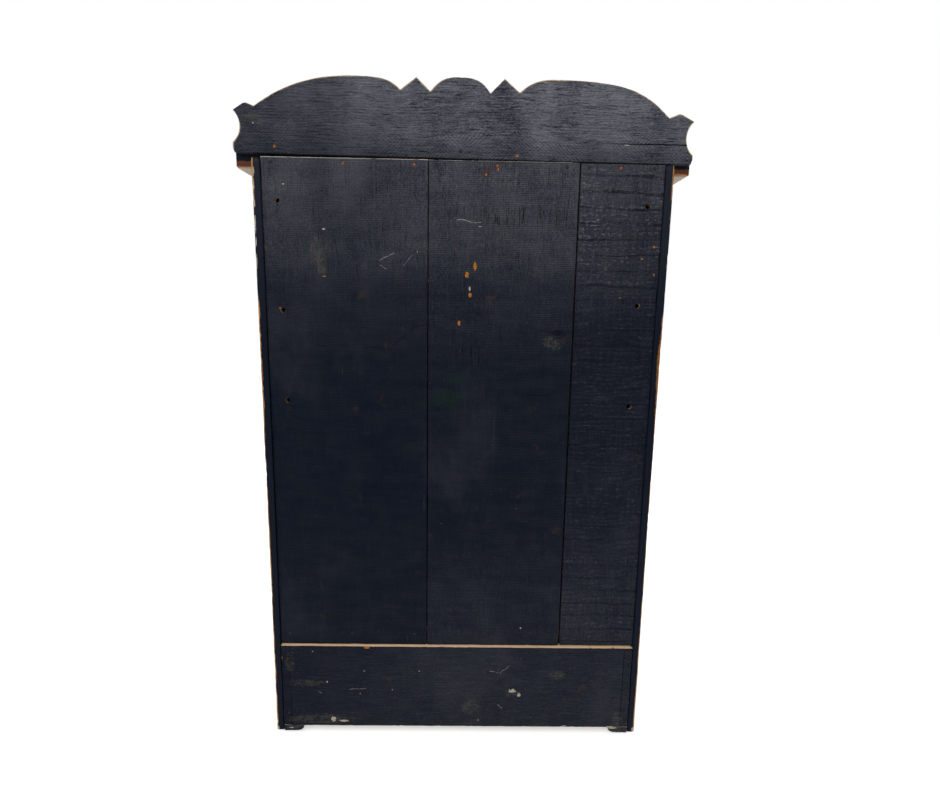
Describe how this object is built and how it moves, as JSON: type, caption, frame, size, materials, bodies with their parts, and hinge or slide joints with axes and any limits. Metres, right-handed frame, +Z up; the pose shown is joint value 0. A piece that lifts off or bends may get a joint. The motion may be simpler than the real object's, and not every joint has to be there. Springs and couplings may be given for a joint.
{
  "type": "miniature wardrobe",
  "caption": "Miniature nailed pine wardrobe with a scalloped crest, a boarded painted back, panelled doors, a drawer and a hanging rail.",
  "frame": {"origin": "on the floor, in the middle of the whole wardrobe's width and depth", "axes": "+Z up, the doors and drawer face -Y, the boarded back faces +Y, +X is the right-hand side as seen from the front"},
  "size_m": [0.3261, 0.174, 0.5103],
  "materials": {
    "painted_pine": "old thin near-black blue paint, worn through at the edges",
    "stained_pine": "reddish-brown stain under worn satin varnish",
    "bare_pine": "bare sawn pine, darkened by age",
    "turned_knob": "dark varnished turned wood",
    "brass": "tarnished",
    "iron": "rusted wire nails"
  },
  "bodies": {
    "case": {"back_apron": "painted_pine", "back_feet": "painted_pine", "back_plank_middle": "painted_pine", "back_plank_narrow": "painted_pine", "back_plank_wide": "painted_pine", "base_board": "bare_pine", "base_nails": "iron", "cornice_board": "stained_pine", "cornice_nails": "iron", "crest_board": "painted_pine", "crest_nails": "iron", "door_stop_strip": "bare_pine", "floor_board": "bare_pine", "frieze_rail": "stained_pine", "front_feet": "stained_pine", "front_plinth": "stained_pine", "hanging_rail": "bare_pine", "hinge_case_screws": "brass", "hinge_left_case_leaves": "brass", "hinge_left_pins": "brass", "hinge_right_case_leaves": "brass", "hinge_right_pins": "brass", "plank_nails": "iron", "rail_sockets": "bare_pine", "side_left": "stained_pine", "side_nails_left": "iron", "side_nails_right": "iron", "side_right": "stained_pine", "turn_button_screw": "brass"},
    "door_left": {"door_left_bottom_rail": "stained_pine", "door_left_hinge_stile": "stained_pine", "door_left_knob": "turned_knob", "door_left_lower_panel": "stained_pine", "door_left_meeting_stile": "stained_pine", "door_left_middle_rail": "stained_pine", "door_left_top_rail": "stained_pine", "door_left_upper_panel": "stained_pine", "hinge_left_door_leaves": "brass", "hinge_left_door_screws": "brass"},
    "door_right": {"door_right_bottom_rail": "stained_pine", "door_right_hinge_stile": "stained_pine", "door_right_knob": "turned_knob", "door_right_lower_panel": "stained_pine", "door_right_meeting_stile": "stained_pine", "door_right_middle_rail": "stained_pine", "door_right_top_rail": "stained_pine", "door_right_upper_panel": "stained_pine", "hinge_right_door_leaves": "brass", "hinge_right_door_screws": "brass"},
    "drawer": {"drawer_back": "bare_pine", "drawer_bottom": "bare_pine", "drawer_front": "stained_pine", "drawer_knobs": "turned_knob", "drawer_nails": "iron", "drawer_side_left": "bare_pine", "drawer_side_right": "bare_pine"},
    "turn_button": {"turn_button": "brass"}
  },
  "joints": [
    {"name": "door_left_hinge", "type": "hinge", "parent": "case", "child": "door_left", "pos_m": [-0.144, -0.0753, 0.263], "axis": [0, 0, -1], "range_deg": [0, 110]},
    {"name": "door_right_hinge", "type": "hinge", "parent": "case", "child": "door_right", "pos_m": [0.144, -0.0753, 0.263], "axis": [0, 0, 1], "range_deg": [0, 110]},
    {"name": "drawer_slide", "type": "slide", "parent": "case", "child": "drawer", "axis": [0, -1, 0], "range_m": [0, 0.11]},
    {"name": "button_turn", "type": "hinge", "parent": "case", "child": "turn_button", "pos_m": [0, -0.0754, 0.442], "axis": [0, 1, 0], "range_deg": [0, 180]}
  ]
}
